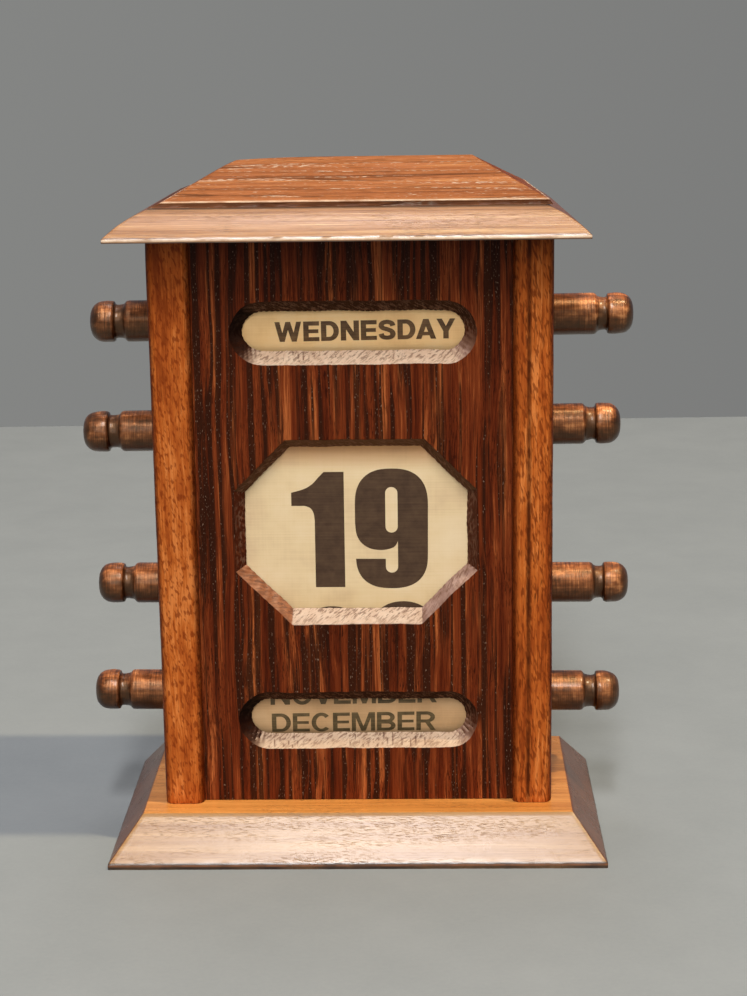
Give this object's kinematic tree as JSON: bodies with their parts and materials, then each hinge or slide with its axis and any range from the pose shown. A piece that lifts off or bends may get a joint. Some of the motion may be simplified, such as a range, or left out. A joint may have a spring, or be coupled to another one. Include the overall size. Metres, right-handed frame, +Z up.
{
  "type": "perpetual desk calendar",
  "caption": "Upright wooden case with bevelled windows on a splayed plinth under a hipped lid; knobbed dowels through its sides turn printed rollers and a scroll for weekday, date and month.",
  "frame": {"origin": "middle of the plinth's underside, on the ground plane", "axes": "+Z up, -Y towards the viewer (the front board and its windows), +X to the right as the calendar is read; millimetres in the source, metres here"},
  "size_m": [0.1458, 0.0804, 0.18],
  "materials": {
    "oak_plinth": "varnished, deep orange-brown with open dark pores",
    "oak_panel": "varnished, dark red-brown with upright grain streaks",
    "oak_pilaster": "varnished, warm brown with dark flecks",
    "oak_side": "varnished, brown with upright grain",
    "oak_lid": "varnished, reddish orange-brown with open pores",
    "knob_wood": "turned and varnished, glossy brown",
    "pale_wood": "bare wood, unseen inside the case",
    "printed_paper": "cream ribbed paper on cloth, printed in dark brown",
    "screw_steel": "plain steel, slightly dulled"
  },
  "bodies": {
    "case": {"plinth": "oak_plinth", "lid_board": "oak_lid", "roof_board": "oak_lid", "front_board": "oak_panel", "back_board": "oak_panel", "left_side": "oak_side", "right_side": "oak_side", "left_pilaster": "oak_pilaster", "right_pilaster": "oak_pilaster", "back_screws": "screw_steel", "plinth_screws": "screw_steel", "lid_dowels": "pale_wood", "date_strip": "printed_paper", "date_platen": "pale_wood"},
    "day_roller": {"day_spindle": "knob_wood", "day_drum": "pale_wood", "day_band": "printed_paper", "day_pin": "screw_steel"},
    "date_top_roller": {"date_top_spindle": "knob_wood", "date_top_roll": "printed_paper"},
    "date_foot_roller": {"date_foot_spindle": "knob_wood", "date_foot_roll": "printed_paper"},
    "month_roller": {"month_spindle": "knob_wood", "month_drum": "pale_wood", "month_band": "printed_paper", "month_pin": "screw_steel"}
  },
  "joints": [
    {"name": "day_turn", "type": "hinge", "parent": "case", "child": "day_roller", "pos_m": [0, 0.00145, 0.1377], "axis": [1, 0, 0.007], "continuous": true},
    {"name": "date_top_turn", "type": "hinge", "parent": "case", "child": "date_top_roller", "pos_m": [0, 0.00145, 0.1083], "axis": [1, 0, 0.0087], "range_deg": [-2700, 5200]},
    {"name": "date_foot_turn", "type": "hinge", "parent": "case", "child": "date_foot_roller", "pos_m": [0, 0.00145, 0.0657], "axis": [1, 0, -0.0052], "range_deg": [-3002, 5782]},
    {"name": "month_turn", "type": "hinge", "parent": "case", "child": "month_roller", "pos_m": [0, 0.00145, 0.0353], "axis": [1, 0, -0.0087], "continuous": true}
  ],
  "couplings": [
    {"joint": "date_foot_turn", "follows": "date_top_turn", "ratio": 1.1118}
  ]
}
